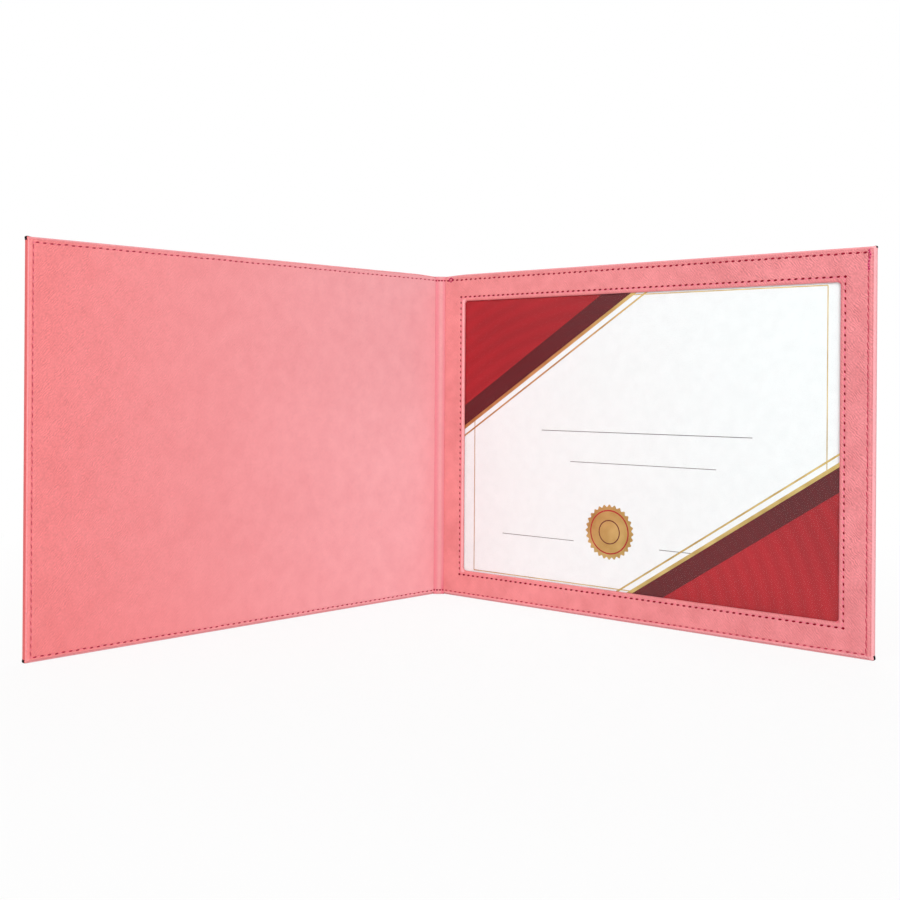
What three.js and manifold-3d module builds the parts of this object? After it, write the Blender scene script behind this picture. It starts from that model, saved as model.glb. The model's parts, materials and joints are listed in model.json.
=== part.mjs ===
// Folding certificate holder: two leatherette covered panels joined by a creased spine, standing open
// like a book. The back panel carries a stitched window frame over the pocket that holds the sheet.
// Millimetres, +Z up, standing on the lower edges, with the origin below the middle of the open book.
import * as THREE from "three";
import { mergeVertices } from "three/addons/utils/BufferGeometryUtils.js";
import Module from "manifold-3d";

const wasm = await Module();
wasm.setup();

// Certificate and the film over it, landscape letter size
const sheetWidth = 279.4;
const sheetHeight = 215.9;
const sheetThickness = 0.25;
const filmThickness = 0.2;

// Materials of the holder, as cut
const leather = 0.9;
const boardThickness = 1.8;
const coreThickness = 0.6; // card inside the window frame
const linerThickness = 0.2; // paper on the floor of the pocket

// Clearances
const glueLine = 0.1; // between bonded layers
const pocketPlay = 0.85; // sheet to turned hem, above and below
const creaseClearance = 0.25; // panel to the rounded edge of the spine
const closedGap = 1.2; // lining to window frame when the holder is shut
const threadClearance = 0.1; // thread to the walls of its seam line

// Panels
const sideMargin = 12.7; // sheet to the panel's edge, at the spine and at the fore edge
const hemWidth = 5.5; // turned edge of the cover, from the panel's edge
const mitreGap = 0.4; // slit where two hems meet at a corner
const cornerRadius = 1.2;
const edgeRadius = 1.2;
const liningInset = 1.2; // lining and frame stop short of the folded edge

// Window frame
const frameBorder = 19.05; // panel's edge to the window, at the head, the tail and the fore edge
const spineBorder = 18; // frame's edge to the window, at the spine
const windowRadius = 2.2;
const softEdge = 0.5; // rounding of a leatherette front edge

// Seams
const seamInset = 3.2; // perimeter seam, from the panel's edge
const windowSeamInset = 2.9; // window seam, from the window's edge
const seamCornerRadius = 0.5; // turn of the window seam at its corners
const threadWidth = 0.6;
const seamDepth = 0.35; // how far a seam line is drawn into the leatherette
const threadRise = 0.12; // thread above the leatherette on the inside

// Fold
const openAngle = 96; // degrees between the two panels as the holder stands

// Smoothness
const curveSegments = 6;
const bevelSegments = 4;

// Layers of a panel, counted from the outside face inwards
const boardBack = leather + glueLine;
const boardFront = boardBack + boardThickness;
const hemBack = boardFront + glueLine;
const hemFront = hemBack + leather;
const faceBack = hemFront + glueLine;
const liningFront = faceBack + leather;
const coreFront = faceBack + coreThickness;
const frameFront = coreFront + glueLine + leather;

// Layers of the pocket: the sheet and the film share what the liner leaves below the frame
const linerFront = hemBack + linerThickness;
const slip = (faceBack - linerFront - sheetThickness - filmThickness) / 3;
const sheetBack = linerFront + slip;
const filmBack = sheetBack + sheetThickness + slip;

// Spine: cover and lining bonded together, turning about the line between them
const hingeDepth = leather + glueLine / 2;
const spineFront = 2 * hingeDepth;
const spineWidth = liningFront + frameFront - 2 * hingeDepth + closedGap;

// Outline of a panel, from the crease at x = 0 to the fore edge
const creaseGap = hingeDepth + creaseClearance;
const panelWidth = sheetWidth + 2 * sideMargin;
const panelHeight = sheetHeight + 2 * (hemWidth + pocketPlay);
const foreEdge = creaseGap + panelWidth;
const sheetStart = creaseGap + sideMargin;
const lipEnd = creaseGap + leather; // lining turned down over the board's end
const boardStart = lipEnd + glueLine;
const foldRadius = Math.min(edgeRadius, hemFront / 2 - glueLine);
const tightRadius = glueLine; // least radius of an inner corner
const overrun = panelWidth; // length of cutting tools past what they cut

// Drawing: x runs from the crease to the fore edge, y up, z from the outside face inwards
function roundedRect(left, right, bottom, top, radius) {
  const shape = new THREE.Shape();
  shape.moveTo(left + radius, bottom);
  shape.absarc(right - radius, bottom + radius, radius, -Math.PI / 2, 0);
  shape.absarc(right - radius, top - radius, radius, 0, Math.PI / 2);
  shape.absarc(left + radius, top - radius, radius, Math.PI / 2, Math.PI);
  shape.absarc(left + radius, bottom + radius, radius, Math.PI, Math.PI * 1.5);
  return shape;
}

// The panel's outline, drawn in by an inset on the three free edges and running on past the crease
function panelOutline(inset) {
  const radius = Math.max(cornerRadius - inset, tightRadius);
  return roundedRect(-overrun, foreEdge - inset, inset, panelHeight - inset, radius);
}

// A rectangle round the window, at a margin from its edges
function aroundWindow(margin, radius) {
  const left = creaseGap + spineBorder - margin;
  const border = frameBorder - margin;
  return roundedRect(left, foreEdge - border, border, panelHeight - border, radius);
}

// The window, opened up on all sides by a margin
function windowOutline(margin) {
  return aroundWindow(margin, windowRadius + margin);
}

// The line of the window seam, moved outwards by an offset
function windowSeamOutline(offset) {
  const radius = Math.max(seamCornerRadius + offset, tightRadius);
  return aroundWindow(windowSeamInset + offset, radius);
}

// The window frame's face, drawn in by an inset on every edge
function frameOutline(inset) {
  const edge = liningInset + inset;
  const radius = Math.max(cornerRadius - edge, tightRadius);
  const shape = roundedRect(creaseGap + inset, foreEdge - edge, edge, panelHeight - edge, radius);
  shape.holes.push(windowOutline(inset));
  return shape;
}

// Section of the spine: a flat band whose two edges are round about the crease lines
function spineSection(inset) {
  const radius = hingeDepth - inset;
  const shape = new THREE.Shape();
  shape.absarc(0, hingeDepth, radius, -Math.PI / 2, Math.PI / 2);
  shape.absarc(-spineWidth, hingeDepth, radius, Math.PI / 2, Math.PI * 1.5);
  return shape;
}

// Solids: closed shapes that can be joined and cut
function solidFrom(geometry) {
  geometry.deleteAttribute("normal");
  geometry.deleteAttribute("uv");
  const merged = mergeVertices(geometry);
  const vertProperties = new Float32Array(merged.attributes.position.array);
  const triVerts = new Uint32Array(merged.index.array);
  return new wasm.Manifold(new wasm.Mesh({ numProp: 3, vertProperties, triVerts }));
}

function geometryFrom(solid) {
  const { vertProperties, triVerts } = solid.getMesh();
  const geometry = new THREE.BufferGeometry();
  geometry.setAttribute("position", new THREE.BufferAttribute(vertProperties, 3));
  geometry.setIndex(new THREE.BufferAttribute(triVerts, 1));
  const faceted = geometry.toNonIndexed();
  faceted.computeVertexNormals();
  return faceted;
}

function block(left, right, bottom, top, back, front) {
  const geometry = new THREE.BoxGeometry(right - left, top - bottom, front - back);
  geometry.translate((left + right) / 2, (bottom + top) / 2, (back + front) / 2);
  return solidFrom(geometry);
}

// A flat plate with square edges
function plate(shape, back, front) {
  const depth = front - back;
  const geometry = new THREE.ExtrudeGeometry(shape, { depth, bevelEnabled: false, curveSegments });
  geometry.translate(0, 0, back);
  return solidFrom(geometry);
}

// A plate whose edges are rounded on both faces; the outline is drawn in by the rounding
function foldedPlate(outline, back, front, radius) {
  const geometry = new THREE.ExtrudeGeometry(outline(radius), {
    depth: front - back - 2 * radius,
    bevelThickness: radius,
    bevelSize: radius,
    bevelSegments,
    curveSegments,
  });
  geometry.translate(0, 0, back + radius);
  return solidFrom(geometry);
}

// A plate rounded on its front edge alone: made too deep, then cut off square at the back
function facePlate(outline, back, front, radius) {
  const deep = foldedPlate(outline, back - 2 * radius, front, radius);
  return deep.subtract(block(-overrun, 2 * overrun, -overrun, overrun * 2, back - overrun, back));
}

// What is left of a panel piece once it is cut off at the crease
function cutAtCrease(solid) {
  return solid.subtract(block(-2 * overrun, creaseGap, -overrun, 2 * overrun, -overrun, overrun));
}

// A band along the perimeter seam, round the three free edges
function perimeterBand(width, back, front) {
  const outer = plate(panelOutline(seamInset - width / 2), back, front);
  const inner = plate(panelOutline(seamInset + width / 2), back - leather, front + leather);
  return cutAtCrease(outer.subtract(inner));
}

// A band along the seam round the window
function windowBand(width, back, front) {
  const outer = plate(windowSeamOutline(width / 2), back, front);
  const inner = plate(windowSeamOutline(-width / 2), back - leather, front + leather);
  return outer.subtract(inner);
}

const seamLineWidth = threadWidth + 2 * threadClearance;

function perimeterSeamLine(back, front) {
  return perimeterBand(seamLineWidth, back, front);
}

// Thread lying in a seam line that is drawn into a face on the inside
function threadBack(face) {
  return face - seamDepth + threadClearance;
}

// Outer cover: one skin folded round the board, with hems turned in on three sides and mitred corners
function turnedCover() {
  const folded = cutAtCrease(foldedPlate(panelOutline, 0, hemFront, foldRadius));
  const boardSpace = plate(panelOutline(leather), leather, hemBack);
  const hemOpening = plate(panelOutline(hemWidth), boardFront, hemFront + leather);
  let cover = folded.subtract(boardSpace).subtract(hemOpening);
  for (const end of [0, panelHeight]) {
    const slit = new THREE.BoxGeometry(4 * hemWidth, mitreGap, 2 * leather);
    slit.rotateZ(end === 0 ? -Math.PI / 4 : Math.PI / 4);
    slit.translate(foreEdge, end, hemBack + leather);
    cover = cover.subtract(solidFrom(slit));
  }
  return cover.subtract(perimeterSeamLine(-leather, seamDepth));
}

// Board inside a cover, stopping behind the lining's lip
function stiffBoard() {
  const inset = leather + glueLine;
  const full = plate(panelOutline(inset), boardBack, boardFront);
  return full.subtract(block(-2 * overrun, boardStart, -overrun, 2 * overrun, -overrun, overrun));
}

// A layer that fills the space between the hems
function betweenHems(back, front) {
  const full = plate(panelOutline(hemWidth + glueLine), back, front);
  return full.subtract(block(-2 * overrun, boardStart, -overrun, 2 * overrun, -overrun, overrun));
}

// Lining turned down over the end of the board: full height beside the board, then between the hems
function gutterLip(front) {
  const boardMargin = leather + glueLine;
  const hemMargin = hemWidth + pocketPlay;
  const beside = block(creaseGap, lipEnd, boardMargin, panelHeight - boardMargin, boardBack, boardFront);
  const above = block(creaseGap, lipEnd, hemMargin, panelHeight - hemMargin, boardBack, front);
  return beside.add(above);
}

// Lining of the front panel: a stitched face with a lip at the gutter
function frontLining() {
  const outline = (inset) => panelOutline(liningInset + inset);
  const face = cutAtCrease(facePlate(outline, faceBack, liningFront, softEdge));
  const lined = face.add(gutterLip(liningFront - softEdge));
  return lined.subtract(perimeterSeamLine(liningFront - seamDepth, liningFront + leather));
}

// Card ring that stiffens the window frame
function frameCore() {
  const wall = leather + glueLine;
  return plate(frameOutline(wall), faceBack, coreFront);
}

// Leatherette of the window frame, turned down at the window and at the outer edges round its card
function frameSkin() {
  const face = facePlate(frameOutline, faceBack, frameFront, softEdge);
  const coreSpace = plate(frameOutline(leather), faceBack - leather, coreFront + glueLine);
  const windowSeamLine = windowBand(seamLineWidth, frameFront - seamDepth, frameFront + leather);
  const edgeSeamLine = perimeterSeamLine(frameFront - seamDepth, frameFront + leather);
  return face.subtract(coreSpace).subtract(windowSeamLine).subtract(edgeSeamLine);
}

function insertSheet(back, thickness) {
  const bottom = hemWidth + pocketPlay;
  return block(sheetStart, sheetStart + sheetWidth, bottom, bottom + sheetHeight, back, back + thickness);
}

// A length of the spine's section, standing from one height to another
function spineLength(bottom, top, radius) {
  const geometry = new THREE.ExtrudeGeometry(spineSection(radius), {
    depth: top - bottom - 2 * radius,
    bevelEnabled: radius > 0,
    bevelThickness: radius,
    bevelSize: radius,
    bevelSegments,
    curveSegments,
  });
  geometry.rotateX(Math.PI / 2);
  geometry.translate(0, top - radius, 0);
  return solidFrom(geometry);
}

// A straight bar across the spine, along its head or tail seam, reaching past both creases
function spineSeamBar(height, width, back, front, reach) {
  return block(-spineWidth - reach, reach, height - width / 2, height + width / 2, back, front);
}

const spineSeamHeights = { head: panelHeight - seamInset, tail: seamInset };

// Outer layer of the spine, folded over the lining at the head and the tail
function spineCover() {
  const whole = spineLength(0, panelHeight, softEdge);
  const top = panelHeight - liningInset;
  const liningSpace = block(-overrun, overrun, liningInset, top, leather, overrun);
  let cover = whole.subtract(liningSpace);
  for (const height of Object.values(spineSeamHeights)) {
    cover = cover.subtract(spineSeamBar(height, seamLineWidth, -leather, seamDepth, overrun));
  }
  return cover;
}

// Inner layer of the spine
function spineLining() {
  const inset = liningInset + glueLine;
  const whole = spineLength(inset, panelHeight - inset, 0);
  let lining = whole.subtract(block(-overrun, overrun, -overrun, overrun, -overrun, boardBack));
  for (const height of Object.values(spineSeamHeights)) {
    const line = spineSeamBar(height, seamLineWidth, spineFront - seamDepth, overrun, overrun);
    lining = lining.subtract(line);
  }
  return lining;
}

// Finishes
const finishes = {
  coverLeatherette: { color: 0xee8287, roughness: 0.6 },
  liningLeatherette: { color: 0xf48f93, roughness: 0.6 },
  frameLeatherette: { color: 0xf0888c, roughness: 0.6 },
  thread: { color: 0xc03358, roughness: 0.7 },
  greyboard: { color: 0x9a938a, roughness: 0.9 },
  card: { color: 0xd8d2c6, roughness: 0.9 },
  linerPaper: { color: 0x2d2a2b, roughness: 0.9 },
  certificatePaper: { color: 0xfaf8f4, roughness: 0.7 },
  clearFilm: { color: 0xf4f8fa, roughness: 0.1, transparent: true, opacity: 0.25 },
};

function addPart(group, name, solid, finish) {
  const material = new THREE.MeshStandardMaterial({ metalness: 0, ...finishes[finish] });
  const mesh = new THREE.Mesh(geometryFrom(solid), material);
  mesh.name = name;
  group.add(mesh);
}

// Back panel, which stays put: cover, board, pocket and window frame
const backPanel = new THREE.Group();
backPanel.position.z = -hingeDepth;
addPart(backPanel, "back_cover", turnedCover(), "coverLeatherette");
addPart(backPanel, "back_board", stiffBoard(), "greyboard");
addPart(backPanel, "pocket_lip", gutterLip(linerFront), "liningLeatherette");
addPart(backPanel, "pocket_liner", betweenHems(hemBack, linerFront), "linerPaper");
addPart(backPanel, "frame_core", frameCore(), "card");
addPart(backPanel, "frame_skin", frameSkin(), "frameLeatherette");
const frameThreadFront = frameFront + threadRise;
const windowThread = windowBand(threadWidth, threadBack(frameFront), frameThreadFront);
addPart(backPanel, "window_seam", windowThread, "thread");
const frameThread = perimeterBand(threadWidth, threadBack(frameFront), frameThreadFront);
addPart(backPanel, "frame_edge_seam", frameThread, "thread");
const outerThread = perimeterBand(threadWidth, threadClearance / 2, seamDepth - threadClearance);
addPart(backPanel, "back_edge_seam", outerThread, "thread");

// Insert, loose in the pocket
const insert = new THREE.Group();
addPart(insert, "certificate", insertSheet(sheetBack, sheetThickness), "certificatePaper");
addPart(insert, "clear_sheet", insertSheet(filmBack, filmThickness), "clearFilm");
backPanel.add(insert);

// Front panel, drawn as the back one and mirrored
const frontPanel = new THREE.Group();
frontPanel.position.z = -hingeDepth;
frontPanel.scale.x = -1;
addPart(frontPanel, "front_cover", turnedCover(), "coverLeatherette");
addPart(frontPanel, "front_board", stiffBoard(), "greyboard");
addPart(frontPanel, "front_infill", betweenHems(hemBack, hemFront), "card");
addPart(frontPanel, "front_lining", frontLining(), "liningLeatherette");
const liningThread = perimeterBand(threadWidth, threadBack(liningFront), liningFront + threadRise);
addPart(frontPanel, "lining_edge_seam", liningThread, "thread");
addPart(frontPanel, "front_edge_seam", outerThread, "thread");

// Spine, with its origin on the back crease
const spineBand = new THREE.Group();
spineBand.position.z = -hingeDepth;
addPart(spineBand, "spine_cover", spineCover(), "coverLeatherette");
addPart(spineBand, "spine_lining", spineLining(), "liningLeatherette");
for (const [end, height] of Object.entries(spineSeamHeights)) {
  const inner = spineSeamBar(height, threadWidth, threadBack(spineFront), spineFront + threadRise, 0);
  addPart(spineBand, `spine_${end}_seam`, inner, "thread");
  const outer = spineSeamBar(height, threadWidth, threadClearance / 2, seamDepth - threadClearance, 0);
  addPart(spineBand, `spine_${end}_back_seam`, outer, "thread");
}

// Each crease takes half of the fold away from flat
const creaseAngle = THREE.MathUtils.degToRad((180 - openAngle) / 2);
const frontCrease = new THREE.Group();
frontCrease.position.x = -spineWidth;
frontCrease.rotation.y = creaseAngle;
frontCrease.add(frontPanel);
const backCrease = new THREE.Group();
backCrease.rotation.y = creaseAngle;
backCrease.add(spineBand, frontCrease);

// Stand the book up, and set the origin on the floor below the middle of its outline
const book = new THREE.Group();
book.rotation.x = Math.PI / 2;
book.add(backPanel, backCrease);
const extent = new THREE.Box3().setFromObject(book, true);
const middle = extent.getCenter(new THREE.Vector3());
book.position.set(-middle.x, -middle.y, -extent.min.z);

const certificateHolder = new THREE.Group();
certificateHolder.add(book);

export default certificateHolder;
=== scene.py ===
# Looks of a folding certificate holder: leatherette skins, stitched seams, printed sheet, studio and camera
import json
import math

import bmesh
import bpy
import numpy as np
from mathutils import Matrix, Vector


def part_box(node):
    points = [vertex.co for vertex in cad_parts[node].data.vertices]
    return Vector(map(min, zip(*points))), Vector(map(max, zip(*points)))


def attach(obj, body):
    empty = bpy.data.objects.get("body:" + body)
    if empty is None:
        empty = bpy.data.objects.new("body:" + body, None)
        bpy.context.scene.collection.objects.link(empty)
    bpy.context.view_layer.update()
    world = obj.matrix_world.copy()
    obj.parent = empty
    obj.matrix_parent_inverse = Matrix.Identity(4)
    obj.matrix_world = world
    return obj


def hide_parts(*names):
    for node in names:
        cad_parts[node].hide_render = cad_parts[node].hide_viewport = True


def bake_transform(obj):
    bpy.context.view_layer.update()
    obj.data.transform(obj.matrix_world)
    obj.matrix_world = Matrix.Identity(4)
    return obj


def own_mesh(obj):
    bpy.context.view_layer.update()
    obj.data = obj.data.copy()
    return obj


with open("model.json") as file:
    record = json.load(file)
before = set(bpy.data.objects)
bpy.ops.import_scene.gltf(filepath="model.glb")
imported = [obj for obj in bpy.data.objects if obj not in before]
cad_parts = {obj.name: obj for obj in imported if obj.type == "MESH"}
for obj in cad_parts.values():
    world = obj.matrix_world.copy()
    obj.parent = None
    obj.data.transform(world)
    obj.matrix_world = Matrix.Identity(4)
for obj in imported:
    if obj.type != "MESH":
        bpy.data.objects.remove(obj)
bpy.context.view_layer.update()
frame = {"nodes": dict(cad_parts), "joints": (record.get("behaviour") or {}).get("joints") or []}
mm = 0.001
print("frame loaded with", len(frame["nodes"]), "nodes")

# What the frame gives. A panel is measured by u from its crease to its fore edge, v up, and d from its
# outside face inwards.
joints = {joint["name"]: joint for joint in frame["joints"]}
backAxis = Vector(joints["back_crease"]["pos_m"])
frontAxis = Vector(joints["front_crease"]["pos_m"])
fold = -math.radians(joints["back_crease"]["range_deg"][0])  # turn of each crease away from flat
spineWidth = (frontAxis - backAxis).length
coverLow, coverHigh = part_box("back_cover")
skinLow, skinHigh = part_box("frame_skin")
lipLow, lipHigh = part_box("pocket_lip")
headLow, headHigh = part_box("spine_head_seam")
ringLow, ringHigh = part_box("window_seam")
leather = lipHigh.x - lipLow.x
panelStart = coverLow.x - backAxis.x
panelEnd = coverHigh.x - backAxis.x
panelHeight = coverHigh.z
hingeDepth = coverHigh.y - backAxis.y
hemFront = coverHigh.y - coverLow.y
faceBack = coverHigh.y - skinHigh.y
frameFront = coverHigh.y - skinLow.y
liningFront = faceBack + leather
faceInset = coverHigh.x - skinHigh.x  # lining and frame stop this far inside the folded edge
threadWidth = headHigh.z - headLow.z
seamInset = panelHeight - (headLow.z + headHigh.z) / 2
spineFront = 2 * hingeDepth
cornerRadius = 1.2 * mm
tightRadius = 0.25 * mm
creaseRound = 1.2 * mm  # half the width over which a crease turns
roundSteps = 6  # points round an edge
skinThickness = 0.9 * leather
onFace = 0.01 * mm  # nearer than this counts as on a sewn face
mergeWithin = 0.002 * mm


# Points of the row frame from panel measures
def turned(x, z, angle):
    return x * np.cos(angle) + z * np.sin(angle), z * np.cos(angle) - x * np.sin(angle)


def rowPoints(x, z, v):
    x, z, v = np.broadcast_arrays(x, z, v)
    return np.stack([backAxis.x + x, backAxis.y - z, v], -1)


def smooth(value, low, high):
    t = np.clip((value - low) / (high - low), 0, 1)
    return t * t * (3 - 2 * t)


def spineShare(u):
    return smooth(-u, -creaseRound, creaseRound)  # 0 on the panel, 1 on the spine


# the soft spine sinks a little at its head
headSag = {"depth": 0.7 * mm, "reach": 11 * mm, "below": 16 * mm}


def sagged(v, away):
    drop = headSag["depth"] * np.exp(-(away / headSag["reach"]) ** 2)
    return v - drop * smooth(v, panelHeight - headSag["below"], panelHeight)


def onBack(u, v, d):
    x, z = turned(u, d - hingeDepth, spineShare(u) * fold)
    return rowPoints(x, z, sagged(v, np.maximum(u, 0)))


def onSpine(s, v, d):
    x, z = turned(s, d - hingeDepth, fold)
    return rowPoints(x, z, sagged(v, 0))


def onFront(u, v, d):
    x, z = turned(-u, d - hingeDepth, (1 - spineShare(u)) * fold)
    x, z = turned(x - spineWidth, z, fold)
    return rowPoints(x, z, sagged(v, np.maximum(u, 0)))


def towards(place, u, start, end):
    # unit vector from one depth to another at a place of a panel or the spine
    return Vector(place(u, 0, end) - place(u, 0, start)).normalized()


inward = {"back": towards(onBack, panelEnd, 0, mm), "front": towards(onFront, panelEnd, 0, mm),
          "spine": towards(onSpine, 0, 0, mm)}
frontRun = Vector(onFront(panelEnd, 0, 0) - onFront(panelEnd / 2, 0, 0)).normalized()  # crease to fore edge


# Meshes: patches are grids of points and polygons single faces, merged along their borders
def meshFrom(name, patches, paintedLight, polygons=(), facing=None, tones=None):
    points, faces, values, shades = [], [], [], []
    for index, patch in enumerate(patches):
        rows, cols = patch.shape[:2]
        base = len(points)
        points.extend(patch.reshape(-1, 3).tolist())
        values.extend(paintedLight[index].ravel())
        for r in range(rows - 1):
            for c in range(cols - 1):
                corner = base + r * cols + c
                faces.append((corner, corner + 1, corner + cols + 1, corner + cols))
        shades.extend(np.zeros((rows - 1) * (cols - 1), int) if tones is None else tones[index].ravel())
    for polygon in polygons:
        base = len(points)
        points.extend(np.asarray(polygon).tolist())
        values.extend([0.0] * len(polygon))
        faces.append(tuple(range(base, base + len(polygon))))
        shades.append(0)
    mesh = bpy.data.meshes.new(name)
    mesh.from_pydata(points, [], faces)
    mesh.polygons.foreach_set("material_index", np.array(shades, np.int32))
    # painted light per point: a painted highlight above 0, painted shade below it
    mesh.attributes.new("paintedLight", "FLOAT", "POINT").data.foreach_set("value", np.array(values, np.float32))
    work = bmesh.new()
    work.from_mesh(mesh)
    bmesh.ops.remove_doubles(work, verts=work.verts, dist=mergeWithin)
    bmesh.ops.recalc_face_normals(work, faces=work.faces)
    if facing is not None:
        lean = sum(face.normal.dot(facing) * face.calc_area() for face in work.faces)
        if lean < 0:
            bmesh.ops.reverse_faces(work, faces=work.faces)
    work.to_mesh(mesh)
    work.free()
    return mesh


def addPiece(name, mesh, materials):
    piece = bpy.data.objects.new(name, mesh)
    bpy.context.scene.collection.objects.link(piece)
    for material in materials:
        mesh.materials.append(material)
    return piece


def applied(piece):
    # the piece with its modifiers turned into a plain mesh
    made = bpy.data.meshes.new_from_object(piece.evaluated_get(bpy.context.evaluated_depsgraph_get()))
    piece.modifiers.clear()
    piece.data = made
    made.name = piece.name
    return piece


def thickened(piece, thickness):
    wall = piece.modifiers.new("wall", "SOLIDIFY")
    wall.thickness = thickness
    wall.offset = -1
    wall.use_rim = True
    return applied(piece)


def softShaded(piece, angle=50):
    piece.data.shade_smooth()
    piece.data.set_sharp_from_angle(angle=math.radians(angle))
    return piece


# Materials
def linear(hexText):
    channels = [int(hexText[i:i + 2], 16) / 255 for i in (1, 3, 5)]
    return [c / 12.92 if c <= 0.04045 else ((c + 0.055) / 1.055) ** 2.4 for c in channels] + [1.0]


def add(tree, kind, inputs=None, **settings):
    node = tree.nodes.new(kind)
    for key, value in settings.items():
        setattr(node, key, value)
    for key, value in (inputs or {}).items():
        if isinstance(value, bpy.types.NodeSocket):
            tree.links.new(value, node.inputs[key])
        else:
            node.inputs[key].default_value = value
    return node


# Nodes that come back often, each in the tree of a socket that it takes, and as the socket that it gives
def maths(operation, *values, **settings):
    tree = values[0].id_data
    return add(tree, "ShaderNodeMath", dict(enumerate(values)), operation=operation, **settings).outputs[0]


def ranged(value, low, high, toLow=0.0, toHigh=1.0):
    return add(value.id_data, "ShaderNodeMapRange", {
        "Value": value, "From Min": low, "From Max": high, "To Min": toLow, "To Max": toHigh}).outputs[0]


def toneMix(share, first, second, **settings):
    first, second = (linear(tone) if isinstance(tone, str) else tone for tone in (first, second))
    tree = (first if isinstance(first, bpy.types.NodeSocket) else share).id_data
    return add(tree, "ShaderNodeMix", {"Factor": share, "A": first, "B": second},
               data_type="RGBA", **settings).outputs["Result"]


def noise(place, size, detail):
    return add(place.id_data, "ShaderNodeTexNoise", {
        "Vector": place, "Scale": 1 / size, "Detail": detail}).outputs["Fac"]


def bumped(strength, depth, height):
    return add(height.id_data, "ShaderNodeBump", {
        "Strength": strength, "Distance": depth, "Height": height}).outputs[0]


def newMaterial(name, **sockets):
    material = bpy.data.materials.new(name)
    material.use_nodes = True
    tree = material.node_tree
    shader = tree.nodes["Principled BSDF"]
    for key, value in sockets.items():
        shader.inputs[key.replace("_", " ")].default_value = value
    place = add(tree, "ShaderNodeTexCoord").outputs["Object"]
    return material, place


def wired(material, **sources):
    tree = material.node_tree
    for key, source in sources.items():
        tree.links.new(source, tree.nodes["Principled BSDF"].inputs[key.replace("_", " ")])
    return material


waveLength = 0.314  # at which a wave texture of scale 1 repeats
leatheretteLook = {
    "cloud": 42 * mm,  # soft mottling of the dye
    "cloudShare": 0.5,
    "wisp": 9 * mm,
    "mottled": (0.5, 1.0),  # from the darkest to the lightest dye
    "pebble": 1.1 * mm,  # grain cells, about as small as the render shows
    "cell": (0.15, 0.75),  # from the middle of a cell to the pit round it
    "wrinkle": 1.3 * mm,  # spacing of the fine slanted wrinkles
    "lean": math.radians(43),  # of the wrinkles, from upright
    "swirl": 10.0,
    "bend": 3.6 * mm,  # over which they bend
    "patch": 5 * mm,  # over which they come and go
    "patchy": (0.4, 0.62),
    "least": 0.1,  # share of them that is left between the patches
    "calm": 0.35,  # share of the wrinkles and pits that is left beside a crease
    "calmTail": 0.5,  # and along the tail, up to the height of climb
    "climb": 60 * mm,
    "grainDepth": 0.2 * mm,
    "grainBump": 0.4,
    "cellRise": -0.2,
    "level": 0.97,  # tone between the pits and the swells of the grain
    "wispy": (0.3, 0.7),
    "roughness": (0.48, 0.62),
    "highlightColour": "#f9bfc5",  # painted highlight over folds and rounded edges
}


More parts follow.
